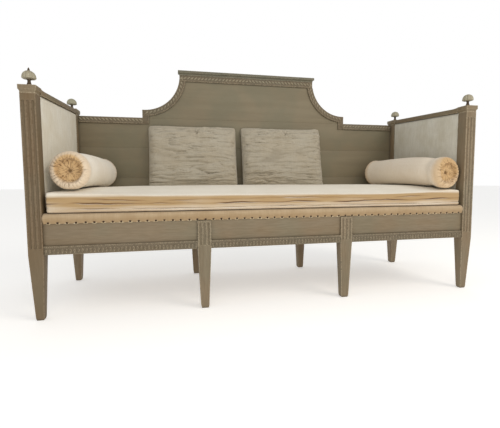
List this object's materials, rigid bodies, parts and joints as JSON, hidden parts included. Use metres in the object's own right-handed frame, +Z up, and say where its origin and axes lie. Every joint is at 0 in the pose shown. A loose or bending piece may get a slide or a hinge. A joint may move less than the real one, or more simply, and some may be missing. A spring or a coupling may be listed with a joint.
{
  "type": "sofa",
  "caption": "High-sided painted sofa with a raised, shouldered crest, fluted square legs, linen arm panels, a loose mattress, back cushions and bolsters.",
  "frame": {"origin": "on the floor, under the middle of the sofa's bounding box", "axes": "+X to the right as seen from the front, along the seat; +Y from the front towards the back; +Z up"},
  "size_m": [1.908, 0.649, 1.115],
  "materials": {
    "painted_wood": "old warm-grey milk paint, rubbed thin on the edges",
    "natural_linen": "plain woven undyed linen",
    "stuffed_core": "stuffing on canvas, hidden between the linen pads",
    "jute_webbing": "coarse jute webbing",
    "mattress_cotton": "washed cotton and linen cover",
    "cushion_linen": "plain woven linen",
    "bolster_cotton": "soft cotton, gathered at the ends"
  },
  "bodies": {
    "frame": {"arm_core_left": "stuffed_core", "arm_core_right": "stuffed_core", "arm_lower_rail_left": "painted_wood", "arm_lower_rail_right": "painted_wood", "arm_pad_inner_left": "natural_linen", "arm_pad_inner_right": "natural_linen", "arm_pad_outer_left": "natural_linen", "arm_pad_outer_right": "natural_linen", "arm_rail_left": "painted_wood", "arm_rail_right": "painted_wood", "back_batten_left": "painted_wood", "back_batten_right": "painted_wood", "back_board_crest": "painted_wood", "back_board_lower": "painted_wood", "back_board_middle": "painted_wood", "back_board_upper": "painted_wood", "back_rail_band_left": "painted_wood", "back_rail_band_right": "painted_wood", "cap_front_left": "painted_wood", "cap_front_right": "painted_wood", "cap_rear_left": "painted_wood", "cap_rear_right": "painted_wood", "corner_block_front_left": "painted_wood", "corner_block_front_right": "painted_wood", "corner_block_rear_left": "painted_wood", "corner_block_rear_right": "painted_wood", "crest_band": "painted_wood", "crest_cap": "painted_wood", "cross_bearer_left": "painted_wood", "cross_bearer_right": "painted_wood", "finial_front_left": "painted_wood", "finial_front_right": "painted_wood", "finial_rear_left": "painted_wood", "finial_rear_right": "painted_wood", "front_rail_band_left": "painted_wood", "front_rail_band_middle": "painted_wood", "front_rail_band_right": "painted_wood", "leg_front_middle_left": "painted_wood", "leg_front_middle_right": "painted_wood", "leg_rear_middle_left": "painted_wood", "leg_rear_middle_right": "painted_wood", "post_front_left": "painted_wood", "post_front_right": "painted_wood", "post_rear_left": "painted_wood", "post_rear_right": "painted_wood", "seat_deck": "natural_linen", "seat_rail_front": "painted_wood", "seat_rail_left": "painted_wood", "seat_rail_rear": "painted_wood", "seat_rail_right": "painted_wood", "shoulder_band_left": "painted_wood", "shoulder_band_right": "painted_wood", "webbing_cross": "jute_webbing", "webbing_long": "jute_webbing"},
    "mattress": {"mattress": "mattress_cotton"},
    "cushion_left": {"cushion_left": "cushion_linen"},
    "cushion_right": {"cushion_right": "cushion_linen"},
    "bolster_left": {"bolster_left": "bolster_cotton"},
    "bolster_right": {"bolster_right": "bolster_cotton"}
  },
  "joints": [
    {"name": "mattress_lift", "type": "slide", "parent": "frame", "child": "mattress", "axis": [0, -0.5, 0.866], "range_m": [0, 0.25]},
    {"name": "cushion_left_lift", "type": "slide", "parent": "mattress", "child": "cushion_left", "axis": [0, -0.6428, 0.766], "range_m": [0, 0.3]},
    {"name": "cushion_right_lift", "type": "slide", "parent": "mattress", "child": "cushion_right", "axis": [0, -0.6428, 0.766], "range_m": [0, 0.3]},
    {"name": "bolster_left_lift", "type": "slide", "parent": "mattress", "child": "bolster_left", "axis": [0, 0, 1], "range_m": [0, 0.3]},
    {"name": "bolster_right_lift", "type": "slide", "parent": "mattress", "child": "bolster_right", "axis": [0, 0, 1], "range_m": [0, 0.3]}
  ]
}
